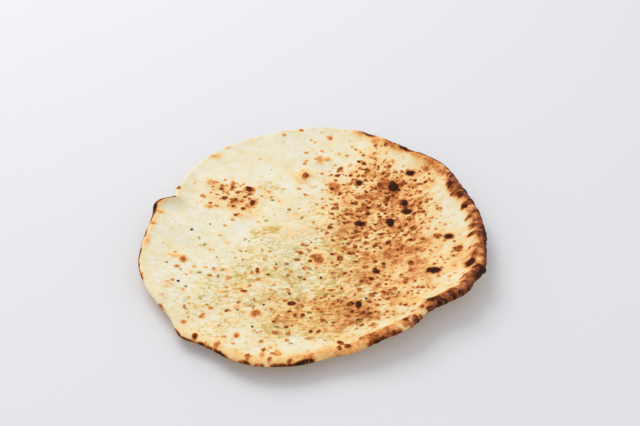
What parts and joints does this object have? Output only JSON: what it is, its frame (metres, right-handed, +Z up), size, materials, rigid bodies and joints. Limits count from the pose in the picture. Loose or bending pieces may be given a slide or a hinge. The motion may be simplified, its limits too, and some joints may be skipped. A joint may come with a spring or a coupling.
{
  "type": "naan bread",
  "caption": "Large thin naan, nearly round with a notched side, edge curled up all round, puffed charred rim on one side, blisters and strewn herbs on top.",
  "frame": {"origin": "middle of the naan's box, on the flat spot of its underside", "axes": "+Z up out of the top face, +X towards the side with the puffed rim, +Y towards the back"},
  "size_m": [0.3264, 0.3188, 0.0286],
  "materials": {
    "bread": "pale baked dough, toasted golden to brown in patches, with black blisters and a charred rim; matt, slightly buttery",
    "herb_flakes": "dried green herb flakes, crinkled and matt",
    "dark_seeds": "small dark seeds, dull",
    "garlic_bits": "chopped garlic baked golden, slightly oily"
  },
  "bodies": {
    "root": {"naan": "bread"}
  },
  "joints": []
}
